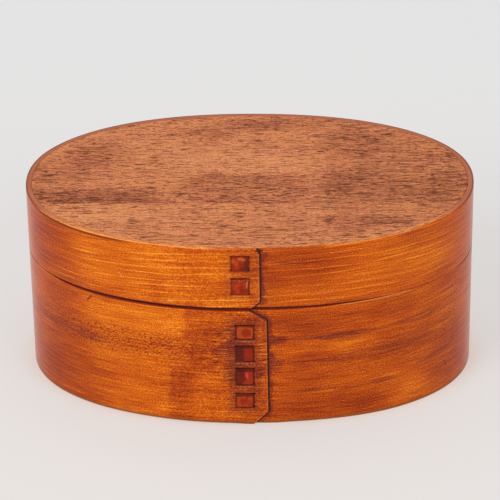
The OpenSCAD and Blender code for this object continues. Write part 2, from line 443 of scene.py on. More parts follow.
def bent_wall(name, path, along, faces_at, lows, highs, levels, holes, lean, radii, body, replaced):
    """A strip bent along its path. faces_at holds its outer and inner inset. lows, highs and each of levels
    are pairs of real and marked heights: a mark keeps its place in the finish where an edge is uneven.
    holes are (from, to, low row, high row); radii are for the outer low, outer high and inner arrises."""
    outer, inner = faces_at
    steps = len(along)
    outer_low, outer_high, inside = [
        np.minimum(radius, share * (inner - outer)) for radius, share in zip(radii, ARRIS_SHARES)]
    rows = [(outer, *level) for level in levels]
    rows += edge_rows(outer, outer_high, *highs, 1, OUTER_ARRIS_ROWS)
    rows += edge_rows(inner, -inside, *highs, 1, INNER_ARRIS_ROWS)[::-1]
    rows += [(inner, *level) for level in levels[::-1]]
    rows += edge_rows(inner, -inside, *lows, -1, INNER_ARRIS_ROWS)
    rows += edge_rows(outer, outer_low, *lows, -1, OUTER_ARRIS_ROWS)[::-1]
    count = len(rows)
    points = np.zeros((steps, count, 3))
    coords = np.zeros((steps, count, 3))
    for j, (inset, height, marked) in enumerate(rows):
        x, y = oval(path.angle(along + lean(along, marked)), inset)
        points[:, j] = np.stack([x, y, height + np.zeros(steps)], axis=1)
        coords[:, j] = np.stack([along, inset + np.zeros(steps), marked + np.zeros(steps)], axis=1)
    inner_first = len(levels) + OUTER_ARRIS_ROWS + INNER_ARRIS_ROWS

    def opposite(j):
        """The row on the inner face that lies behind row j of the outer face."""
        return inner_first + len(levels) - 1 - j

    cut = set()
    faces = []
    for s0, s1, j0, j1 in holes:
        i0, i1 = int(np.argmin(abs(along - s0))), int(np.argmin(abs(along - s1)))
        for i in range(i0, i1):
            for j in range(j0, j1):
                cut.add((i, j))
                cut.add((i, opposite(j + 1)))
        ring = [(i, j0) for i in range(i0, i1)] + [(i1, j) for j in range(j0, j1)]
        ring += [(i, j1) for i in range(i1, i0, -1)] + [(i0, j) for j in range(j1, j0, -1)]
        for (ia, ja), (ib, jb) in zip(ring, ring[1:] + ring[:1]):
            faces.append((
                ia * count + ja, ib * count + jb, ib * count + opposite(jb), ia * count + opposite(ja)))
    faces += grid_faces(steps, count, cut) + end_faces(steps, count)
    return mesh_object(name, points, faces, coords, body, replaced)


def face_levels(low, high, slits, slit_half):
    """Rows for a wall's faces with one at each edge of a slit, and the rows of each slit."""
    marks = [low] + [z + d for z in slits for d in (-slit_half, slit_half)] + [high]
    levels = []
    for a, b in zip(marks, marks[1:]):
        count = max(1, int(round((b - a) / FACE_STEP_MM)))
        levels += list(np.linspace(a, b, count + 1)[:-1])
    levels.append(high)
    levels = np.array(levels)
    nearest = lambda z: int(np.argmin(abs(levels - z)))
    return levels, [(nearest(z - slit_half), nearest(z + slit_half)) for z in slits]


def level_row(along, level):
    """The real and the marked height of a row that is level all the way."""
    return np.full(len(along), level), np.full(len(along), level)


def lapped_wall(name, spec, body, node):
    """A lapped wall with its slits. Its low_line and high_line say how far its edges lie off their heights."""
    low, high, slits, edge = spec["low"], spec["high"], spec["slits"], spec["edge"]
    path = Path(spec["end"])
    slit_half = BARK_T_MM / 2 + BARK_PLAY_MM + SLIT_ROOM_MM
    slit_side = BARK_W_MM / 2 + SLIT_SIDE_MM
    near = spec["end"] - spec["lace"]
    (top_l, top_h), (low_l, low_h) = spec["top_cut"], spec["low_cut"]
    marks = []
    for lap_at in (0, path.turn):
        marks += [lap_at + near - slit_side, lap_at + near + slit_side]
    along = path.stations(WALL_FINE_TO_MM, WALL_STEP_MM, [*WALL_END_MM, top_l, low_l, *marks])
    outer, inner = lap_insets(path, along, WALL_T_MM, LAP_STEP_MM, 0)
    x, y = oval(path.angle(along), 0)

    # The outer end is rounded, and the face is a little uneven, less so near that end.
    round_end = np.clip(1 - along / END_R_MM, 0, 1)
    outer = outer + END_R_MM * (1 - np.sqrt(1 - round_end ** 2))
    uneven = UNEVEN_MM * wave(spec["seed"], x / UNEVEN_REACH_MM, y / UNEVEN_REACH_MM)
    outer = outer - uneven * np.where(along < CALM_TO_MM, CALM_SHARE, 1)

    # The cut corners shorten the rows near the outer end, and the edges' own lines shift them.
    first = path.near_start(along)
    taken_high = np.where(first, top_h * spec["top_form"](np.clip(1 - along / top_l, 0, 1)), 0)
    taken_low = np.where(first, low_h * np.clip(1 - along / low_l, 0, 1), 0)
    shift_low, shift_high = spec["low_line"](x, y), spec["high_line"](x, y)
    lows = (low + taken_low + shift_low, low + taken_low)
    highs = (high - taken_high + shift_high, high - taken_high)
    levels, slit_rows = face_levels(low + edge, high - edge, slits, slit_half)
    keep_low = slits[0] - slit_half - SLIT_KEEP_MM
    keep_high = slits[-1] + slit_half + SLIT_KEEP_MM
    rows = []
    for level in levels:
        if level <= keep_low:
            share = (keep_low - level) / (keep_low - low - edge)
            marked = keep_low - share * (keep_low - lows[1] - edge)
            rows.append((marked + share * shift_low, marked))
        elif level >= keep_high:
            share = (level - keep_high) / (high - edge - keep_high)
            marked = keep_high + share * (highs[1] - edge - keep_high)
            rows.append((marked + share * shift_high, marked))
        else:
            rows.append(level_row(along, level))
    holes = [(s0, s1, j0, j1) for s0, s1 in zip(marks[::2], marks[1::2]) for j0, j1 in slit_rows]

    def lean(s, z):
        off = np.minimum(abs(s), abs(s - path.turn))
        return spec["lean"] * ((z - low) / (high - low) - 0.5) * ease((LEAN_FROM_MM - off) / LEAN_FADE_MM)

    closed = shut(x, y)
    chips = sum(
        depth * np.exp(-(((along - (spec["end"] - at_x)) / reach) ** 2)) for at_x, reach, depth in spec["chips"])
    radii = (
        edge - spec["closes"][0] * closed, spec["top_edge"] - spec["closes"][1] * closed + chips, INNER_ARRIS_MM)
    return bent_wall(name, path, along, (outer, inner), lows, highs, rows, holes, lean, radii, body, [node])


def straight(u):
    return u


def rounded(u):
    return 1 - np.sqrt(1 - u * u)


def front_part(y):
    return np.clip(-y / HALF_W_MM, 0, 1) ** 0.5


def shut(x, y):
    """1 where the open line under the lid has closed, at the front towards both ends."""
    return front_part(y) * np.maximum(ease((x - 28) / 38), ease((-x - 76) / 9))


def lid_low_line(x, y):
    return -0.13 * shut(x, y)


def body_high_line(x, y):
    left = ease((x + 88) / 36)
    dip = 0.5 * left * (1 - ease((x + 12) / 50)) + 0.12 * left * (1 - ease((x - 30) / 40))
    return 0.14 * shut(x, y) - front_part(y) * dip


def body_low_line(x, y):
    return 0.35 * front_part(y) * (1 - ease((x - 25) / 35)) * (1 - np.exp(-(((x - 5) / 9) ** 4)))


def no_line(x, y):
    return 0 * x


# What differs between the walls. edge is the room left for the arrises, top_edge the outer high arris, closes
# how much smaller the two outer arrises get where the line under the lid is shut, and chips are
# (x, reach, depth) in the high arris.
BODY = {
    "low": 0, "high": BODY_TOP_MM, "end": BODY_END_MM, "lace": BODY_LACE_X_MM, "slits": BODY_SLITS_MM,
    "top_cut": BODY_TOP_CUT_MM, "low_cut": BODY_LOW_CUT_MM, "top_form": straight, "seed": 3, "edge": 0.5,
    "top_edge": 0.35, "low_line": body_low_line, "high_line": body_high_line, "lean": 0.35, "chips": [],
    "closes": (0, 0.25),
}
LID = {
    "low": LID_LOW_MM, "high": LID_TOP_MM, "end": LID_END_MM, "lace": LID_LACE_X_MM, "slits": LID_SLITS_MM,
    "top_cut": LID_TOP_CUT_MM, "low_cut": LID_LOW_CUT_MM, "top_form": rounded, "seed": 8, "edge": 0.4,
    "top_edge": 0.45, "low_line": lid_low_line, "high_line": no_line, "lean": 0,
    "chips": [(-35.6, 0.8, 0.5), (-31.5, 1.6, 0.35), (-29.6, 0.5, 0.4)], "closes": (0.28, 0),
}
body_wall = lapped_wall("body_wall", BODY, "box", "body_band")
lid_wall = lapped_wall("lid_wall", LID, "lid", "lid_band")


def collar():
    """The collar, turned so that its own lap is at the back, with a groove that clears both lacings."""
    path = Path(0)
    lace_from = min(BODY_LACE_X_MM, LID_LACE_X_MM) - BARK_W_MM / 2 - GROOVE_ROOM_MM
    lace_to = max(BODY_LACE_X_MM, LID_LACE_X_MM) + BARK_W_MM / 2 + GROOVE_ROOM_MM
    half = path.turn / 2
    groove_sides = [half + end + d for end in (lace_from, lace_to) for d in (-GROOVE_SIDE_MM, GROOVE_SIDE_MM)]
    along = path.stations(COLLAR_FINE_TO_MM, COLLAR_STEP_MM, groove_sides)
    outer, inner = lap_insets(path, along, COLLAR_T_MM, 0, FEATHER_MM)
    x, _ = oval(path.angle(along), 0)
    grooved = (abs(along - half) < GROOVE_REACH_MM) & (-x > lace_from) & (-x < lace_to)
    depth = BARK_T_MM + 2 * BARK_PLAY_MM + LID_PLAY_MM - GLUE_MM
    face = WALL_T_MM + GLUE_MM
    outer = np.where(grooved, depth, outer) + face
    inner = inner + face
    levels = np.concatenate([
        np.linspace(COLLAR_LOW_MM + EDGE_R_MM, BODY_TOP_MM, COLLAR_ROWS[0]),
        np.linspace(LID_LOW_MM, COLLAR_TOP_MM - EDGE_R_MM, COLLAR_ROWS[1])])
    made = bent_wall(
        "collar", path, along, (outer, inner), level_row(along, COLLAR_LOW_MM), level_row(along, COLLAR_TOP_MM),
        [level_row(along, level) for level in levels], [], lambda s, z: 0 * s, COLLAR_ARRISES_MM, "box",
        ["inner_rim"])

    # Above the body's wall the face is shaved, to clear the lid.
    shaved = WALL_T_MM + LID_PLAY_MM
    for vertex, mark in zip(made.data.vertices, made.data.attributes["strip"].data):
        s, d, z = mark.vector
        x, y = vertex.co.x / MM, vertex.co.y / MM
        if z > BODY_TOP_MM + ABOVE_WALL_MM and d < shaved:
            x, y = oval(path.angle(s), shaved)
        vertex.co.x, vertex.co.y = -x * MM, -y * MM
    made.data.set_sharp_from_angle(angle=SHARP)
    return made


inner_collar = collar()


def oval_board(name, low, high, edge, body, node, seed):
    """A flat board in rings from its middle out, with eased edges."""
    inset = WALL_T_MM + GLUE_MM
    angles = -np.linspace(0, 2 * math.pi, BOARD_POINTS, endpoint=False)
    arc = np.radians(np.linspace(0, 90, BOARD_ARC_POINTS))
    inmost, outmost = BOARD_RINGS
    rows = [(share, edge, high) for share in np.linspace(inmost, outmost, 16)]
    rows += [(1, edge * (1 - math.sin(a)), high - edge * (1 - math.cos(a))) for a in arc]
    rows += [(1, edge * (1 - math.sin(a)), low + edge * (1 - math.cos(a))) for a in arc[::-1]]
    rows += [(share, edge, low) for share in np.linspace(outmost, inmost, 8)]
    points = []
    for share, extra, height in rows:
        x, y = oval(angles, inset + extra)
        x, y = x * share, y * share
        crown = BOARD_CROWN_MM * (wave(seed, x / 30, y / 24) - 1.2) * (1 - share ** 4) if height == high else 0
        points.append(np.stack([x, y, np.full(BOARD_POINTS, height) + crown], axis=1))
    faces = grid_faces(len(rows), BOARD_POINTS)
    faces += [face[::-1] for face in end_faces(len(rows), BOARD_POINTS)]
    return mesh_object(name, points, faces, points, body, [node])


lid_top = oval_board("lid_top", LID_BOARD_LOW_MM, LID_TOP_MM, 0.12, "lid", "lid_board", 5)
base = oval_board("base", 0, BASE_TOP_MM, 0.4, "box", "base_board", 6)


# ---------------- the bark lacings
def lace_line(slits):
    """The strip's middle line in the Y-Z plane, and the Y of its runs outside the wall."""
    out = -(HALF_W_MM + LAP_STEP_MM + BARK_PLAY_MM + BARK_T_MM / 2)
    into = -(HALF_W_MM - WALL_T_MM - BARK_PLAY_MM - BARK_T_MM / 2)
    corners = [(into, slits[0] + BARK_TUCK_MM)]
    for i, z in enumerate(slits):
        corners += [(into, z), (out, z)] if i % 2 == 0 else [(out, z), (into, z)]
    corners.append((into, slits[-1] - BARK_TUCK_MM))
    corners = np.array(corners)
    line = [corners[0]]
    for before, corner, after in zip(corners, corners[1:], corners[2:]):
        a = (corner - before) / np.linalg.norm(corner - before)
        b = (after - corner) / np.linalg.norm(after - corner)
        centre = corner + BARK_T_MM * (b - a)
        turns = np.radians(np.linspace(0, 90, LACE_BEND_POINTS))
        line += [centre + BARK_T_MM * (a * math.sin(t) - b * math.cos(t)) for t in turns]
    line.append(corners[-1])
    full = []
    for a, b in zip(line, line[1:]):
        count = max(1, int(np.linalg.norm(b - a) / LACE_STEP_MM))
        full += [a + (b - a) * k / count for k in range(count)]
    full.append(line[-1])
    return np.array(full), out


def lacing(name, lace_x, slits, tilt, body, node, seed):
    """A bark strip through its slits. tilt is how far its upper end lies to the right of its lower end."""
    line, out = lace_line(slits)
    way = np.gradient(line, axis=0)
    way /= np.linalg.norm(way, axis=1)[:, None]
    side = np.stack([-way[:, 1], way[:, 0]], axis=1)
    along = np.concatenate([[0], np.cumsum(np.linalg.norm(np.diff(line, axis=0), axis=1))])
    across = np.array(LACE_ACROSS)
    rounding = ((np.abs(across) - LACE_FLAT) / (1 - LACE_FLAT)).clip(0)
    thick = BARK_T_MM / 2 * np.sqrt(np.clip(1 - rounding ** 2, LACE_EDGE, 1))
    section = [(u, t) for u, t in zip(across, thick)] + [(u, -t) for u, t in zip(across[::-1], thick[::-1])]
    count = len(section)
    width = BARK_W_MM / 2 * (1 + LACE_WIDTH_WAVE * wave(seed, along / 3))
    tilted = tilt * ((line[:, 1] - slits[0]) / (slits[-1] - slits[0]) - 0.5)
    lean = LACE_LEAN_WAVE_MM * wave(seed + 1, along / 7) + tilted
    outside = np.abs(line[:, 0] - out) < LACE_OUTSIDE_MM
    points = np.zeros((len(line), count, 3))
    coords = np.zeros((len(line), count, 3))
    for j, (u, t) in enumerate(section):
        pillow = np.where(outside, LACE_PILLOW_MM * (1 - u * u), 0)
        points[:, j, 0] = lace_x + u * width + lean
        points[:, j, 1] = line[:, 0] + side[:, 0] * t - pillow
        points[:, j, 2] = line[:, 1] + side[:, 1] * t
        coords[:, j] = np.stack([np.full(len(line), u * BARK_W_MM / 2), np.full(len(line), t), line[:, 1]], axis=1)
    faces = grid_faces(len(line), count) + end_faces(len(line), count)
    return mesh_object(name, points, faces, coords, body, [node], LACE_SHARP)


body_bark = lacing("body_bark", BODY_LACE_X_MM, BODY_SLITS_MM, 0.5, "box", "body_lacing", 11)
lid_bark = lacing("lid_bark", LID_LACE_X_MM, LID_SLITS_MM, 0.1, "lid", "lid_lacing", 12)


# ---------------- materials
WALL_TONES = [
    (0.0, rgb(88, 24, 4)), (0.25, rgb(146, 48, 5)), (0.5, rgb(190, 79, 5)), (0.75, rgb(230, 119, 10)),
    (1.0, rgb(252, 170, 50))]
FLECK = rgb(112, 36, 14)
STAINED = rgb(84, 22, 14), rgb(138, 52, 34)
# Gathered lacquer with painted shade, for the dark lines round the stitches and along the outer end.
LACQUER_AND_SHADE = rgb(38, 12, 4), rgb(86, 28, 10)
# A worn end arris, painted pale as a highlight too.
END_ARRIS_WEAR_AND_HIGHLIGHT = rgb(226, 160, 96)
# Painted shade and pooled lacquer, for the lips of the open line under the lid.
LIP_SHADE_AND_LACQUER = rgb(112, 14, 0)
# Painted contact shade with dirt, for the body's foot.
FOOT_SHADE_AND_DIRT = rgb(84, 42, 14), rgb(160, 100, 46)
# Painted highlights on lifted fibres along the slits' edges.
FIBRE_HIGHLIGHT = rgb(206, 150, 116)
DARK_ARRIS = rgb(92, 52, 40)
UNDER_ARRIS = rgb(112, 44, 6)
# Painted highlight on the upper arris at the front.
ARRIS_HIGHLIGHT = rgb(246, 176, 104)
WALL_HAZE = rgb(240, 236, 240)
COLLAR_PALE = rgb(214, 150, 92)
COLLAR_GAP_SHADE = rgb(104, 14, 0)
BOARD_TONES = [
    (0.0, rgb(108, 50, 36)), (0.3, rgb(154, 80, 52)), (0.55, rgb(192, 109, 66)), (0.8, rgb(214, 134, 84)),
    (1.0, rgb(232, 162, 112))]
BOARD_YELLOW = rgb(208, 134, 60)
BOARD_PORE = rgb(94, 36, 12)
BOARD_VEINS = [(40, -46, 80, 12, 0.8), (62, -5, 40, 40, 0.6)]
BOARD_GLOWS = [(3, 13, 30, 10, 0.11), (-35, 22, 26, 12, 0.04), (55, -30, 25, 7, 0.06), (-55, -30, 30, 8, 0.08)]
BOARD_SHADES = [
    (-62, 20, 14, 12, 0.16), (8, 47, 22, 6, 0.18), (42, 30, 14, 12, 0.12), (45, -37, 16, 6, 0.12),
    (-18, 38, 10, 8, 0.12), (75, 18, 14, 6, 0.08), (-78, 5, 16, 14, 0.14), (34, -4, 9, 12, 0.08),
    (80, -10, 10, 12, 0.04)]
BARK_TONES = [(0.3, rgb(110, 26, 6)), (0.5, rgb(148, 40, 8)), (0.7, rgb(176, 58, 12))]
BARK_SHADE_AND_LACQUER = rgb(62, 18, 6)
PLUM = rgb(80, 24, 16)
RED = rgb(134, 30, 10)
ORANGE = rgb(178, 72, 14)
FLOOR_SHADE = (0.79, 0.785, 0.78, 1)
FLOOR_NEAR = rgb(229, 223, 219)
FLOOR_FAR = rgb(231, 232, 233)
# Painted warm bounce light from the box, for the floor round its foot.
FLOOR_BOUNCE_LIGHT = rgb(240, 205, 184)


def spots(m, q, z, marks):
    """The sum of soft oval marks: (q, z, half width, half height, strength)."""
    total = 0
    for at_q, at_z, half_q, half_z, strength in marks:
        far = ((q - at_q) / half_q) ** 2 + ((z - at_z) / half_z) ** 2
        total = far.rise(1.6, 0) * strength + total
    return total


def wood_tone(m, s, d, z, v, look, ridged=1):
    """How light the wood is, around 0.5, from broad clouds down to fibres, with its streaks for stains. s runs
    along the strip, d goes into it, z is up, and v is up from the line that the grain follows."""
    line = m.noise(s / 26, v / 0.75, d / 2 + 3, 2, 0.65)
    fibre = m.noise(s / 15, v / 0.5, d + 11, 2, 0.75)
    grit = m.noise(s / 0.55, z / 0.5, d + 5, 1, 0.6)
    sway = m.noise(s / 30, v / 5, 9, 1, 0.5)
    ring = ((v / look["ring"] + sway * 0.9).calc("FRACT") - 0.5).size()
    ridge = ring.rise(0.13, 0.0) * m.noise(s / 26, v / 1.6, 21, 1, 0.5).rise(0.36, 0.56)
    tone = swing(m.noise(s / 34, v / 9, d / 9, 2, 0.5), look["broad"]) + 0.5
    tone = swing(m.noise(s / 11, v / 3.2, d / 3 + 7, 3, 0.55), look["cloud"]) + tone
    tone = swing(line, look["line"]) + tone
    tone = swing(fibre, look["fibre"]) + tone
    tone = swing(grit, look["grit"]) + tone
    return tone + ridge * look["ridge"] * ridged, fibre, grit, line * 0.5 + fibre * 0.35 + ridge * 0.3


def lace_marks(q, z, rough, wall, look):
    """How far a place is from the nearest stitch, and how dark the line round the stitches is: gathered lacquer
    with painted shade.
    """
    slits = wall["slits"]
    distances, lines = [], []
    for low, high in zip(slits[::2], slits[1::2]):
        middle = (low + high) / 2
        lean = look["lace_lean"] * ((middle - slits[0]) / (slits[-1] - slits[0]) - 0.5)
        far_q = (q - (wall["lace"] + lean)).size() - BARK_W_MM / 2
        far_z = (z - middle + 0.17).size() - (high - low) / 2 - 0.42
        sides = far_q.size().rise(0.6, 0.2) * far_z.rise(0.3, 0.0) * 0.8
        ends = far_z.size().rise(0.55, 0.25) * (far_q + swing(rough, 2)).rise(1.3, 0.3)
        distances.append(far_q.above(far_z))
        lines.append(sides.above(ends))
    return reduce(Num.below, distances), reduce(Num.above, lines)


def past_end(q, z, wall):
    """How far a place is past the outer end and its two cut corners; it is less than 0 on the outer layer."""
    beyond = q - wall["end"]
    top_q, top_z = wall["top_cut"]
    low_q, low_z = wall["low_cut"]
    over_top = (beyond / top_q + (z - wall["high"]) / top_z + 1) / math.hypot(1 / top_q, 1 / top_z)
    over_low = (beyond / low_q - (z - wall["low"]) / low_z + 1) / math.hypot(1 / low_q, 1 / low_z)
    return beyond.above(over_top).above(over_low)


def scratch(q, z, at_q, at_z, tilt, length, width):
    """1 on a short thin line and 0 away from it."""
    c, w = math.cos(tilt), math.sin(tilt)
    along = ((q - at_q) * c + (z - at_z) * w).size()
    across = ((z - at_z) * c - (q - at_q) * w).size()
    return along.rise(length, length * 0.6) * across.rise(width, width * 0.3)


def rim_finish(m, colour, s, d, z, q, fibre, rough, top, look):
    """The colour with the wall's upper edge in it: lighter wood on the end of the wall, a painted highlight on the
    front of the arris and a dark arris behind. It comes with the rim's own share."""
    rim = z.rise(top - 0.3, top - 0.1) * d.rise(0.3, 0.55)
    corner = z.rise(top - 0.45, top - 0.25)
    rim_colour = m.mix(m.noise(s / 3, d / 0.6, z, 2, 0.6).rise(0.35, 0.65), *look["rim"])
    rim_colour = m.mix(q.size().rise(72, 98), rim_colour, m.mix(fibre, *look["rim_behind"]))
    colour = m.mix(rim * 0.95, colour, rim_colour)
    behind = corner * (d - q.size().rise(108, 135) * 0.35).rise(0.65, 0.4)
    colour = m.mix(behind * q.size().rise(88, 106) * 0.7, colour, DARK_ARRIS)
    if look["arris_highlight"]:
        # A painted highlight along the front of the upper arris, with a dark line below it.
        bright = (q + 52).size().rise(46, 34) + (q - 50).size().rise(24, 12) * 0.7
        below = z.rise(top - 1.7, top - 1.0) * z.rise(top - 0.3, top - 0.5)
        below = below * d.rise(0.5, 0.3) * (q + 72).size().rise(32, 18)
        colour = m.mix(below * 0.85, colour, UNDER_ARRIS)
        bright = corner * d.rise(0.38, 0.2) * bright * (rough.rise(0.25, 0.55) * 0.55)
        colour = m.mix(bright, colour, ARRIS_HIGHLIGHT)
    return colour, rim


def wall_finish(name, wall, look):
    """A lacquered wall. In it q is the place along the wall, counted to the right from the middle of its front."""
    m = Finish(name)
    s, d, z = m.parts(m.stored("strip"))
    turn = Path(wall["end"]).turn
    q = (s.rise(turn * 0.6, turn * 0.6 + 1) * turn - s) + wall["end"]
    outside = d.rise(1.5, 1.0)
    v = z - look["slope"](q)
    tone, fibre, grit, relief = wood_tone(m, s, d, z, v, look, q.size().rise(96, 74) * 0.8 + 0.2)
    uneven_q = q + swing(m.noise(s / 6, z / 2, 31, 2, 0.5), 9)
    uneven_z = z + swing(m.noise(s / 9, z / 2.5, 41, 2, 0.5), 3)
    # The tone marks hold the wood's own clouds, and also painted light: a warm glow on the front and shade near
    # both ends.
    tone = tone + spots(m, uneven_q, uneven_z, look["tones"]) * outside
    combed = m.noise(s / 4.5, (z + (q * 0.4).calc("SINE") * 0.5) / 0.5, 91, 0, 0.5)
    tone = tone + swing(combed, spots(m, q, z, look["combed"])) * outside
    for at_q, low, high, soft, strength in look["patches"]:
        edge = uneven_q.rise(at_q - 1.2, at_q + 1.2) * q.rise(at_q + soft, at_q + soft * 0.3)
        tone = edge * uneven_z.rise(low - 0.6, low + 0.6) * uneven_z.rise(high + 0.6, high - 0.6) * strength + tone
    colour = m.ramp(tone, WALL_TONES)

    # Dark flecks and stains in the wood.
    streaky = m.noise(s / 7, v / 0.7, 51, 2, 0.6)
    stain_z = z + swing(m.noise(s / 14, z / 3, 45, 2, 0.5), 2.2)
    stain = spots(m, uneven_q, stain_z, look["stains"]) * (streaky.rise(0.35, 0.6) * 0.75 + 0.25)
    fleck = m.noise(s / 1.2, v / 0.5, 61, 1, 0.5).rise(0.54, 0.64)
    fleck = fleck * (spots(m, q, z, look["flecks"]) + look["speckle"])

    # Lacquer that has gathered round the bark and along the outer end, with painted shade in the corners there,
    # and a pale worn arris on that end with a painted highlight.
    rough = m.noise(s / 1.1, z / 0.6, 71, 2, 0.6)
    around, frame_shade_and_lacquer = lace_marks(q, z, rough, wall, look)
    halo = (around + swing(streaky, 7) + swing(rough, 3)).rise(5.5, 0.0) * look["halo"]
    past = past_end(q, z, wall)
    # Painted shade and gathered lacquer in the corner next to the outer end.
    seam_shade_and_lacquer = past.rise(-0.12, 0.02) * (past + swing(rough, 0.8)).rise(1.05, 0.35)
    blush_far = past + swing(streaky, 5) + swing(m.noise(s / 2.5, z / 4, 81, 1, 0.5), 5)
    blush = past.rise(-0.1, 0.1) * blush_far.rise(3.4, 0.8)
    # A pale worn arris along the outer end, painted as a highlight as well.
    arris = (past + 0.28).size().rise(0.22, 0.08) * rough.rise(0.3, 0.6)
    dirt = (stain + halo + blush * look["blush"]) * outside
    colour = m.mix(fleck * outside * 0.8, colour, FLECK)
    colour = m.mix(dirt.below(0.85), colour, m.mix((fibre + grit - 1).rise(-0.2, 0.2), *STAINED))
    colour = m.mix(arris * look["arris"] * outside, colour, END_ARRIS_WEAR_AND_HIGHLIGHT)
    dark_line = (frame_shade_and_lacquer * look["frame"] * outside).above(seam_shade_and_lacquer * 0.92)
    colour = m.mix(dark_line, colour, m.mix(rough, *LACQUER_AND_SHADE))

    # Painted shade and pooled lacquer along the open line under the lid, which closes towards both ends, and
    # painted shade with dirt along the body's foot.
    lip_shade_and_lacquer = (z - look["gap"]).size().rise(0.55, 0.2) * q.rise(76, 36) * q.rise(-96, -74)
    colour = m.mix(lip_shade_and_lacquer * 0.9, colour, LIP_SHADE_AND_LACQUER)
    if wall["low"] == 0:
        foot_shade_and_dirt = (z + swing(rough, 0.8)).rise(1.9, 0.7)
        colour = m.mix(foot_shade_and_dirt * 0.7, colour, m.mix(rough, *FOOT_SHADE_AND_DIRT))

    # Scratches, and pale specks along the slits' edges that paint highlights on lifted fibres.
    for *place, ink, share in look["scratches"]:
        colour = m.mix(scratch(q, z, *place) * outside * share, colour, ink)
    for at_z in look["lit_fibres"]:
        speck = (z - at_z).size().rise(0.36, 0.12) * m.noise(q / 0.42, 3, at_z, 1, 0.5).rise(0.5, 0.6)
        speck = speck * (q - wall["lace"]).size().rise(3.6, 2.8)
        colour = m.mix(speck * outside * 0.5, colour, FIBRE_HIGHLIGHT)

    colour, rim = rim_finish(m, colour, s, d, z, q, fibre, rough, wall["high"], look)
    m.use(Base_Color=colour, Roughness=swing(relief, 0.12) + rim * 0.2 + 0.4, Metallic=0.0, IOR=1.2)
    m.use(Normal=m.bump(relief - frame_shade_and_lacquer * 0.4, 0.12))
    m.use(Sheen_Weight=0.68, Sheen_Roughness=0.3, Sheen_Tint=WALL_HAZE)
    return m.material


def collar_finish(name):
    """Thinly lacquered wood, with painted shade on the band that shows through the open line between the body's
    wall and the lid's.
    """
    m = Finish(name)
    s, d, z = m.parts(m.stored("strip"))
    tone, _, _, relief = wood_tone(m, s, d, z, z - s * 0.01, LID_LOOK)
    colour = m.mix(0.35, m.ramp(tone, WALL_TONES), COLLAR_PALE)
    # Painted shade on the band of the collar that shows through the open line.
    groove = (z - (BODY_TOP_MM + LID_LOW_MM) / 2).size().rise(2.2, 0.8)
    groove = groove * d.rise(WALL_T_MM + 1.5, WALL_T_MM + 1.3)
    colour = m.mix(groove * 0.9, colour, COLLAR_GAP_SHADE)
    m.use(Base_Color=colour, Roughness=0.5, Normal=m.bump(relief, 0.1), IOR=1.12)
    return m.material


def pored_board(name, bands, v_slope):
    """Open-pored wood with its grain along X. bands gives its lighter and darker places, v_slope its slant."""
    m = Finish(name)
    x, y, z = m.parts(m.stored("strip"))
    v = y - v_slope(x, y)
    cloud = m.noise(x / 18, v / 5, z + 3, 3, 0.55)
    mottle = m.noise(x / 2.4, v / 1.3, z + 5, 1, 0.6)
    streak = m.noise(x / 18, v / 0.66, z + 9, 1, 0.6)
    grit = m.noise(x / 0.8, v / 0.6, z + 11, 1, 0.6)
    pore_long = m.noise(x / 6, v / 0.55, z + 13, 1, 0.45)
    pore_short = m.noise(x / 2.2, v / 0.5, z + 17, 1, 0.45)
    vein = m.noise(x / 24, v / 0.9, z + 19, 1, 0.45)
    hue = m.noise(x / 20, v / 10, z + 23, 1, 0.5)
    uneven_x = x + swing(m.noise(x / 4, v / 3, 31, 2, 0.5), 9)
    uneven_v = v + swing(m.noise(x / 9, v / 2, 41, 2, 0.5), 4)
    band = bands(m, uneven_x, uneven_v)
    tone = band * 0.78 + swing(cloud, 0.15) + swing(mottle, 0.28) + swing(streak, 0.6) + swing(grit, 1.0) + 0.67
    colour = m.ramp(tone, BOARD_TONES)
    colour = m.mix(hue.rise(0.45, 0.7) * 0.2, colour, BOARD_YELLOW)
    denser = (band + swing(cloud, 0.5)) * -0.22
    pores = ((pore_long + denser).rise(0.6, 0.655) * 0.95).above((pore_short + denser).rise(0.64, 0.69) * 0.95)
    pores = pores.above(vein.rise(0.62, 0.67) * spots(m, x, v, BOARD_VEINS))
    colour = m.mix(pores * 0.95, colour, BOARD_PORE)
    m.use(Base_Color=colour, Roughness=pores * 0.15 + 0.6, Normal=m.bump(streak * 0.3 - pores, 0.18), IOR=1.3)
    return m.material


def lid_bands(m, x, v):
    """The lid board's lighter and darker places: three dark bands, a step in front, and soft marks."""
    dark = v.rise(-22, -20.5) * v.rise(-4, -16) * x.rise(-20, -50) * 0.30
    middle = v.rise(-22, -20.5) * v.rise(4, 2) * (x + 2).size().rise(34, 14) * 0.17
    right = v.rise(-24, -17) * v.rise(5, 3) * x.rise(28, 33) * 0.11
    step = x.rise(28, 33) * v.rise(-48, -40) * 0.085
    glow, shade = spots(m, x, v, BOARD_GLOWS), spots(m, x, v, BOARD_SHADES)
    return glow - shade - dark - middle - right - step


def lid_grain(x, y):
    return x.rise(-10, 80) * y.rise(-10, -45) * 5


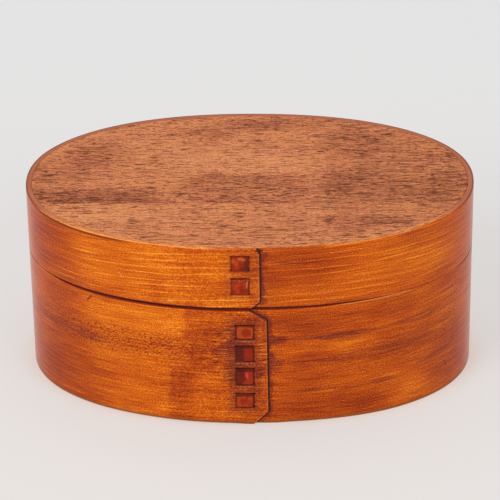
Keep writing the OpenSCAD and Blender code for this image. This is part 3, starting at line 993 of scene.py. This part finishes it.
def bark_finish(name, marks, slits, dark):
    """marks are darker or lighter places: (x, z, half width, half height, colour, share). dark is how far down
    from each upper slit the bark is painted dark, as shade and gathered lacquer where it bends into the slit."""
    m = Finish(name)
    x, d, z = m.parts(m.stored("strip"))
    cloud = m.noise(x / 2.2, z / 2.6, d + 2, 2, 0.5)
    line = m.noise(x / 5, z / 0.35, d + 4, 2, 0.6)
    colour = m.ramp(cloud * 0.6 + line * 0.4, BARK_TONES)
    ux = x + swing(cloud, 2.2)
    uz = z + swing(m.noise(x / 1.4, z / 1.4, 9, 1, 0.5), 2.2)
    for at_x, at_z, half_x, half_z, ink, share in marks:
        far = ((ux - at_x) / half_x) ** 2 + ((uz - at_z) / half_z) ** 2
        colour = m.mix(far.rise(1.5, 0.4) * share * (line.rise(0.2, 0.6) * 0.4 + 0.6), colour, ink)
    # Painted shade and gathered lacquer along the strip's sides and where it bends into each upper slit.
    side = x.size().rise(BARK_W_MM / 2 - 0.5, BARK_W_MM / 2 - 0.05) * 0.7
    for top, deep in zip(slits[1::2], dark):
        darkened = (z + swing(line, 1.2) - top + deep).rise(-0.25, 0.25) * 0.8
        side = side.above(darkened * (z - top).rise(3, 2.9))
    colour = m.mix(side, colour, BARK_SHADE_AND_LACQUER)
    m.use(Base_Color=colour, Roughness=swing(cloud, 0.2) + 0.38, Normal=m.bump(line, 0.05), IOR=1.2)
    return m.material


def body_slope(q):
    return q * 0.012


def lid_slope(q):
    return q.rise(-110, 45) * 7 - q.rise(45, 110) * 1.5


# How each wall looks. tones, combed, flecks and stains hold soft marks (q, z, half width, half height, strength),
# patches are (q, low, high, softness, strength), and scratches are (q, z, tilt, length, width, colour, share).
# The broad lighter tone marks on the front-left and front-right paint the lamps' warm glow, and the darker ones
# near both ends paint shade; the other tone marks are the wood's own.
BODY_LOOK = {
    "slope": body_slope, "ring": 2.3, "broad": 0.26, "cloud": 0.14, "line": 0.46, "fibre": 0.78, "grit": 0.95,
    "ridge": 0.05, "gap": BODY_TOP_MM, "halo": 0.6, "frame": 0.75, "lace_lean": 0.5, "speckle": 0.1,
    "arris": 0.25, "blush": 0.8, "arris_highlight": False,
    # The body's rim is painted dark red-brown: dirt, and painted shade for where it shows in the open line under
    # the lid.
    "rim": (rgb(100, 24, 2), rgb(136, 46, 8)), "rim_behind": (rgb(120, 48, 14), rgb(160, 78, 30)),
    "combed": [(-4, 34, 14, 16, 1.4), (-4, 12, 10, 6, 0.6)], "lit_fibres": [38.6, 28.4, 17.7, 14.95],
    "tones": [
        (28, 45, 10, 6, -0.04), (-45, 45, 28, 9, 0.16), (-78, 45, 12, 9, -0.12), (-45, 8, 26, 9, 0.09),
        (66, 7, 13, 6, 0.08), (42, 34, 12, 4, 0.11), (14, 33, 9, 3, 0.1), (-82, 12, 26, 16, -0.14),
        (30, 46, 40, 6, -0.10), (35, 6, 30, 6, -0.10), (60, 30, 40, 6, -0.06), (-92, 33, 20, 8, -0.06),
        (14, 20, 16, 40, -0.06), (28, 25, 12, 9, -0.08), (48, 10, 14, 9, -0.09), (90, 14, 16, 14, -0.1),
        (90, 45, 14, 8, -0.06), (26, 10, 14, 6, -0.04), (-55, 26, 14, 8, 0.08), (-34, 26, 10, 8, 0.05),
        (-15, 48, 12, 4, 0.1), (-10, 22, 12, 3, 0.08), (-12, 8, 12, 6, 0.05)],
    "patches": [(-25, 38, 60, 24, -0.15), (-31, -9, 26, 14, -0.15), (-23, 26, 38, 22, -0.1)],
    "stains": [
        (30, 39.2, 26, 1.4, 0.7), (39, 38.6, 11, 2.0, 0.7), (72, 39.5, 16, 1.4, 0.6), (55, 28.5, 26, 2.4, 0.35),
        (64, 31, 14, 3.4, 0.3), (25, 27.5, 16, 1.6, 0.4), (11.5, 38.7, 5, 1.9, 1.0), (80, 19, 9, 1.3, 0.7),
        (10.5, 28, 3.4, 4.5, 0.7), (54, 15, 5, 1, 0.7), (30, 14.6, 26, 0.9, 0.5), (-66, 32.5, 8, 2.2, 0.7),
        (-85, 33, 12, 2, 0.4), (-8, 42, 4, 5, 0.4), (-8, 33, 5, 6, 0.7), (-7.5, 22, 4, 4, 0.5),
        (4.4, 24.6, 3, 2.6, 0.8), (-3, 37.6, 6, 1.3, 0.6), (-3, 27.2, 6, 1.3, 0.6)],
    "flecks": [
        (-52, 34.5, 42, 6.5, 1.4), (-85, 36, 20, 8, 0.6), (-10, 40, 12, 12, 0.4), (90, 30, 8, 12, 0.6),
        (60, 28, 34, 9, 0.6)],
    # The last body scratch is a painted highlight along the body's top arris, under the open line.
    "scratches": [
        (-64.9, 50.2, 0.85, 2.3, 0.75, rgb(132, 36, 10), 0.85), (86, 11.8, -1.3, 2.0, 0.4, rgb(92, 30, 22), 0.7),
        (52, 52.95, 0, 20, 0.3, rgb(240, 150, 80), 0.6)],
}
LID_LOOK = {
    "slope": lid_slope, "ring": 2.9, "broad": 0.24, "cloud": 0.14, "line": 0.54, "fibre": 0.56, "grit": 0.9,
    "ridge": 0.25, "gap": LID_LOW_MM, "halo": 0.25, "frame": 0.45, "lace_lean": 0.1, "speckle": 0.05,
    "arris": 0.3, "blush": 0.85, "arris_highlight": True,
    "rim": (rgb(166, 88, 40), rgb(226, 146, 82)), "rim_behind": (rgb(150, 80, 52), rgb(190, 112, 76)),
    "combed": [], "lit_fibres": [],
    "tones": [
        (-34, 60, 13, 6, 0.05), (-13, 73, 9, 5, -0.05), (-50, 68, 32, 16, 0.12), (-34, 74, 12, 5, 0.08),
        (-12, 74, 10, 5, 0.1), (-10, 68, 10, 2, 0.12), (58, 65, 26, 9, 0.07), (-6, 56, 10, 3, 0.16),
        (20, 72, 22, 9, -0.16), (-85, 68, 18, 16, -0.14), (70, 72, 12, 6, 0.06)],
    "patches": [(-38, 40, 68, 9, -0.08)],
    "stains": [
        (20, 73.3, 12, 0.9, 0.6), (9, 62, 4, 8, 0.25), (8, 77, 4, 3, 0.3), (66, 78.6, 6, 0.9, 0.5),
        (-74, 56, 9, 1.6, 0.35)],
    "flecks": [(-70, 57, 12, 3, 0.6), (-26, 65, 9, 4, 0.4), (60, 74, 30, 5, 0.2)],
    "scratches": [
        (-50.4, 64.3, -0.75, 1.4, 0.25, rgb(246, 176, 110), 0.55), (4.9, 79.2, 0, 1.8, 0.7, rgb(54, 20, 12), 0.8),
        (-2.4, 59.3, 0, 4.4, 0.26, rgb(246, 150, 60), 0.5)],
}
# Thin pale marks paint highlights on the bark. On the body's bark that is the one at (0.9, 23). On the lid's,
# those at (-1.2, 74.2), (0.9, 75.9), (-2.6, 75.4), (2.7, 65.0) and (0, 66.4). The rest are the bark's own colours.
BODY_BARK_MARKS = [
    (0, 43.0, 3.8, 3.6, ORANGE, 0.85), (0.3, 43.0, 1.9, 2.0, RED, 0.85),
    (0, 33.1, 4.6, 4.6, RED, 0.8), (-2.6, 33.1, 2.3, 6, PLUM, 0.9),
    (0, 22.5, 4.6, 4.8, rgb(160, 40, 18), 0.8), (-2.2, 22.5, 2.4, 6, PLUM, 0.85),
    (0.9, 23, 0.6, 1.8, rgb(206, 92, 50), 0.5), (0, 11.5, 3.8, 3.4, rgb(178, 64, 18), 0.8),
    (-0.8, 11.3, 1.5, 1.6, RED, 0.8), (2.0, 10.4, 1.4, 1.4, RED, 0.6),
    (1.0, 12.6, 0.4, 1.6, rgb(70, 24, 12), 0.8)]
LID_BARK_MARKS = [
    (2.6, 74.0, 0.9, 3.2, rgb(82, 20, 16), 0.85), (1.6, 71.4, 2.4, 1.3, rgb(92, 26, 18), 0.7),
    (-1.2, 74.2, 0.7, 1.4, rgb(195, 74, 26), 0.5), (0.9, 75.9, 1.5, 0.5, rgb(206, 110, 40), 0.6),
    (-2.6, 75.4, 0.9, 1.3, rgb(196, 88, 30), 0.6), (2.7, 65.0, 0.3, 2.0, rgb(214, 130, 90), 0.5),
    (0, 66.4, 3.4, 0.25, rgb(190, 90, 50), 0.5)]
BODY_BARK_DARK_MM = (0.8, 0.8, 0.5, 0.4)
LID_BARK_DARK_MM = (0.1, 0.1)

body_wall.data.materials.append(wall_finish("body_lacquer", BODY, BODY_LOOK))
lid_wall.data.materials.append(wall_finish("lid_lacquer", LID, LID_LOOK))
inner_collar.data.materials.append(collar_finish("collar_lacquer"))
lid_top.data.materials.append(pored_board("lid_board_finish", lid_bands, lid_grain))
base.data.materials.append(pored_board("base_board_finish", lambda m, x, v: 0, lambda x, y: 0))
body_bark.data.materials.append(
    bark_finish("body_bark_finish", BODY_BARK_MARKS, BODY_SLITS_MM, BODY_BARK_DARK_MM))
lid_bark.data.materials.append(
    bark_finish("lid_bark_finish", LID_BARK_MARKS, LID_SLITS_MM, LID_BARK_DARK_MM))


# ---------------- floor, light and world
FLOOR_REACH = 6.0
FLOOR_OWN_SHARE = 0.62
WORLD_LIGHT = 0.38
WORLD_SEEN_MORE = 0.42
LIGHTS_AIM = (0, 0, 0.04)
LIGHTS = [
    ("key_left", (-0.95, -1.15, 1.15), (0.9, 0.9), 17),
    ("key_right", (1.0, -1.1, 1.0), (0.9, 0.9), 9),
    ("overhead", (0, 0.3, 1.6), (1.2, 1.2), 7)]


def make_stage():
    """A plain floor. The camera sees its own pale colour for the greater part, and its shade for the rest; round
    the box's foot that pale colour holds a painted warm bounce light.
    """
    mesh = bpy.data.meshes.new("floor")
    corners = [(x * FLOOR_REACH, y * FLOOR_REACH, 0) for x, y in ((-1, -1), (1, -1), (1, 1), (-1, 1))]
    mesh.from_pydata(corners, [], [(0, 1, 2, 3)])
    floor = bpy.data.objects.new("floor", mesh)
    bpy.context.collection.objects.link(floor)
    m = Finish("floor_finish")
    x, y, _ = m.parts(m.place())
    pale = m.mix(y.rise(-150, 450), FLOOR_NEAR, FLOOR_FAR)
    reach_x, reach_y = x.size() / HALF_L_MM, y.size() / HALF_W_MM
    near = ((reach_x ** FULLNESS + reach_y ** FULLNESS) ** (1 / FULLNESS) - 1) * HALF_W_MM
    # A warm band round the box's foot is painted bounce light from the box.
    pale = m.mix(near.rise(4.5, 0.0) * 0.5, pale, FLOOR_BOUNCE_LIGHT)
    m.use(Base_Color=FLOOR_SHADE, Roughness=0.9)
    glow = m.tree.nodes.new("ShaderNodeEmission")
    put(m.tree, pale, glow.inputs["Color"])
    blend = m.tree.nodes.new("ShaderNodeMixShader")
    put(m.tree, seen_ray(m.tree) * FLOOR_OWN_SHARE, blend.inputs[0])
    m.tree.links.new(m.shader.outputs[0], blend.inputs[1])
    m.tree.links.new(glow.outputs[0], blend.inputs[2])
    m.tree.links.new(blend.outputs[0], m.tree.nodes["Material Output"].inputs["Surface"])
    mesh.materials.append(m.material)


def area_light(name, at, size, power):
    data = bpy.data.lights.new(name, "AREA")
    data.shape = "RECTANGLE"
    data.size, data.size_y = size
    data.energy = power
    light = bpy.data.objects.new(name, data)
    bpy.context.collection.objects.link(light)
    light.location = at
    light.rotation_mode = "QUATERNION"
    light.rotation_quaternion = (Vector(LIGHTS_AIM) - Vector(at)).to_track_quat("-Z", "Y")


def make_light():
    """An even white world, brighter where it is seen than where it only lights, and the area lights."""
    world = bpy.data.worlds.new("studio")
    bpy.context.scene.world = world
    world.use_nodes = True
    sky = world.node_tree.nodes["Background"]
    sky.inputs["Color"].default_value = (1, 1, 1, 1)
    put(world.node_tree, seen_ray(world.node_tree) * WORLD_SEEN_MORE + WORLD_LIGHT, sky.inputs["Strength"])
    for light in LIGHTS:
        area_light(*light)


make_stage()
make_light()
bpy.context.scene.view_settings.view_transform = "Standard"
